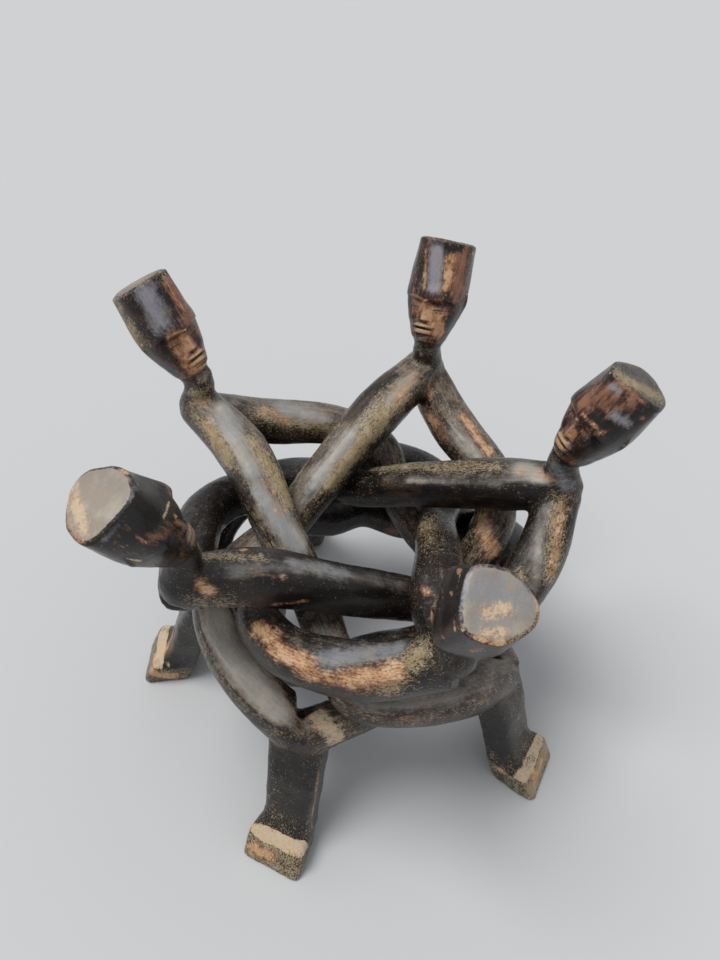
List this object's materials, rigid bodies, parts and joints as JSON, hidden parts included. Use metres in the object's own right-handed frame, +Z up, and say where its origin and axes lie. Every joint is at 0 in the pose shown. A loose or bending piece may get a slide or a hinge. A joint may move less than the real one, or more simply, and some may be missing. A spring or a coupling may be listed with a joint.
{
  "type": "interlocking carved figure stand",
  "caption": "Carved wooden stand of linked closed figures, each with a head, two woven limbs, a leg and a foot, that spreads to carry a bowl or tray.",
  "frame": {"origin": "middle of the outer box, on the surface that the soles stand on", "axes": "+Z up, -Y towards the viewer of the picture, +X to the viewer's right"},
  "size_m": [0.3284, 0.3324, 0.305],
  "materials": {
    "stained_hardwood_right": "dark brown stain under wax, worn to the wood on edges",
    "stained_hardwood_back": "dark brown stain under wax, worn to the wood on edges",
    "stained_hardwood_back_left": "dark brown stain under wax, worn to the wood on edges",
    "stained_hardwood_left": "dark brown stain under wax, worn to the wood on edges",
    "stained_hardwood_front": "dark brown stain under wax, worn to the wood on edges"
  },
  "bodies": {
    "figure_front": {"figure_front": "stained_hardwood_front"},
    "figure_right": {"figure_right": "stained_hardwood_right"},
    "figure_back": {"figure_back": "stained_hardwood_back"},
    "figure_back_left": {"figure_back_left": "stained_hardwood_back_left"},
    "figure_left": {"figure_left": "stained_hardwood_left"}
  },
  "joints": [
    {"name": "fold_right", "type": "hinge", "parent": "figure_front", "child": "figure_right", "pos_m": [0.00094, -0.00227, 0.13], "axis": [0.9994, -0.0349, 0], "range_deg": [0, 14.1]},
    {"name": "fold_left", "type": "hinge", "parent": "figure_front", "child": "figure_left", "pos_m": [0.00094, -0.00227, 0.13], "axis": [-0.2756, 0.9613, 0], "range_deg": [0, 14.1]},
    {"name": "fold_back", "type": "hinge", "parent": "figure_front", "child": "figure_back", "pos_m": [0.00094, -0.00227, 0.13], "axis": [0.829, 0.5592, 0], "range_deg": [0, 22.82]},
    {"name": "fold_back_left", "type": "hinge", "parent": "figure_front", "child": "figure_back_left", "pos_m": [0.00094, -0.00227, 0.13], "axis": [0.342, 0.9397, 0], "range_deg": [0, 22.82]}
  ],
  "couplings": [
    {"joint": "fold_left", "follows": "fold_right", "ratio": 1},
    {"joint": "fold_back", "follows": "fold_right", "ratio": 1.618},
    {"joint": "fold_back_left", "follows": "fold_right", "ratio": 1.618}
  ]
}
